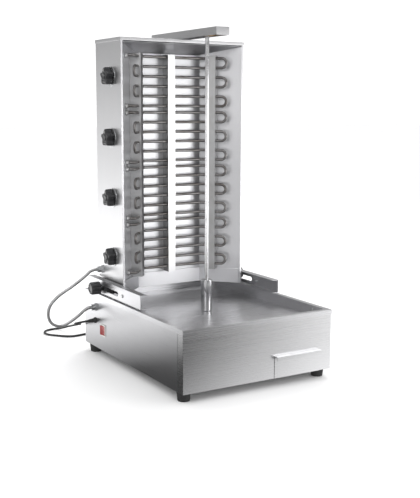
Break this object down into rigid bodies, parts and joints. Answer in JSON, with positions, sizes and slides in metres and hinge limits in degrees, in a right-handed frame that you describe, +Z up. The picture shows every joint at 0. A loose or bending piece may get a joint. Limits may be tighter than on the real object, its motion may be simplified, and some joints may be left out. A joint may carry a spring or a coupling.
{
  "type": "vertical rotisserie broiler",
  "caption": "Countertop electric vertical broiler: tall heater with reflector wings slides on rails behind a driven spit over a drip pan, with heat knobs and a grease drawer.",
  "frame": {"origin": "on the floor, in the middle of the machine's box without its cords", "axes": "+Z up, front with the drip pan and grease drawer faces -Y, +X to the right seen from the front"},
  "size_m": [0.6939, 0.9554, 1.011],
  "materials": {
    "stainless": "brushed stainless sheet",
    "reflector": "bright reflector sheet, slightly heat stained",
    "comb": "heat-dulled steel strip",
    "element": "oxidised sheath of a tubular heating element",
    "chrome": "polished shaft",
    "zinc": "zinc-plated screws and glands",
    "conduit": "wound metal conduit",
    "black_plastic": "moulded phenolic",
    "cord": "black cord sheath",
    "rubber": "moulded rubber",
    "red_plastic": "glossy switch rocker",
    "pale_plastic": "pale moulded plastic",
    "motor_paint": "hammered grey paint",
    "bronze": "sintered bronze"
  },
  "bodies": {
    "base": {"base_housing": "stainless", "front_panel": "stainless", "bottom_plate": "stainless", "drip_pan": "stainless", "pan_screws": "zinc", "drain_spout": "stainless", "feet": "rubber", "foot_screws": "zinc", "guide_rail_left": "stainless", "guide_rail_right": "stainless", "rail_screws": "zinc", "gear_motor": "motor_paint", "motor_bracket": "stainless", "bearing_housing": "motor_paint", "terminal_block": "pale_plastic", "drawer_runners": "stainless", "switch_frame": "pale_plastic", "base_gland": "zinc", "strain_relief": "rubber", "spit_top_bush": "bronze", "power_cord": "cord", "cord_coil": "cord", "cord_plug": "cord", "heater_conduit": "conduit"},
    "carriage": {"heater_shell": "stainless", "heater_roof": "stainless", "heater_floor": "stainless", "rear_cover": "stainless", "heater_screws": "zinc", "hood_reflector": "reflector", "back_reflector": "reflector", "left_reflector": "reflector", "right_reflector": "reflector", "lower_reflector": "reflector", "centre_comb": "comb", "left_comb": "comb", "right_comb": "comb", "heating_element_1": "element", "heating_element_2": "element", "heating_element_3": "element", "heating_element_4": "element", "heat_regulators": "black_plastic", "knob_bezels": "zinc", "heater_gland": "zinc", "slide_shoe_left": "black_plastic", "slide_shoe_right": "black_plastic", "top_arm": "stainless"},
    "spit": {"drive_shaft": "chrome", "spit_socket": "chrome", "spit_rod": "chrome"},
    "knob_1": {"heat_knob_1": "black_plastic"},
    "knob_2": {"heat_knob_2": "black_plastic"},
    "knob_3": {"heat_knob_3": "black_plastic"},
    "knob_4": {"heat_knob_4": "black_plastic"},
    "lock_left": {"lock_knob_left": "black_plastic"},
    "lock_right": {"lock_knob_right": "black_plastic"},
    "rocker": {"switch_rocker": "red_plastic"},
    "drawer": {"drawer_tray": "stainless", "drawer_front": "stainless"}
  },
  "joints": [
    {"name": "carriage_slide", "type": "slide", "parent": "base", "child": "carriage", "axis": [0, 1, 0], "range_m": [-0.11, 0.045], "deforming": ["heater_conduit"]},
    {"name": "spit_spin", "type": "hinge", "parent": "base", "child": "spit", "pos_m": [0, -0.022, 0], "axis": [0, 0, 1], "continuous": true},
    {"name": "heat_knob_1_turn", "type": "hinge", "parent": "carriage", "child": "knob_1", "pos_m": [-0.215, 0.183, 0.326], "axis": [-1, 0, 0], "range_deg": [0, 270]},
    {"name": "heat_knob_2_turn", "type": "hinge", "parent": "carriage", "child": "knob_2", "pos_m": [-0.215, 0.183, 0.509], "axis": [-1, 0, 0], "range_deg": [0, 270]},
    {"name": "heat_knob_3_turn", "type": "hinge", "parent": "carriage", "child": "knob_3", "pos_m": [-0.215, 0.183, 0.692], "axis": [-1, 0, 0], "range_deg": [0, 270]},
    {"name": "heat_knob_4_turn", "type": "hinge", "parent": "carriage", "child": "knob_4", "pos_m": [-0.215, 0.183, 0.875], "axis": [-1, 0, 0], "range_deg": [0, 270]},
    {"name": "lock_knob_left_turn", "type": "hinge", "parent": "carriage", "child": "lock_left", "pos_m": [-0.25, 0.213, 0.226], "axis": [-1, 0, 0], "range_deg": [0, 360]},
    {"name": "lock_knob_right_turn", "type": "hinge", "parent": "carriage", "child": "lock_right", "pos_m": [0.25, 0.213, 0.226], "axis": [1, 0, 0], "range_deg": [0, 360]},
    {"name": "switch_rock", "type": "hinge", "parent": "base", "child": "rocker", "pos_m": [-0.2475, 0.19, 0.093], "axis": [0, 0, 1], "range_deg": [-16, 0]},
    {"name": "drawer_slide", "type": "slide", "parent": "base", "child": "drawer", "axis": [0, -1, 0], "range_m": [0, 0.17]}
  ]
}
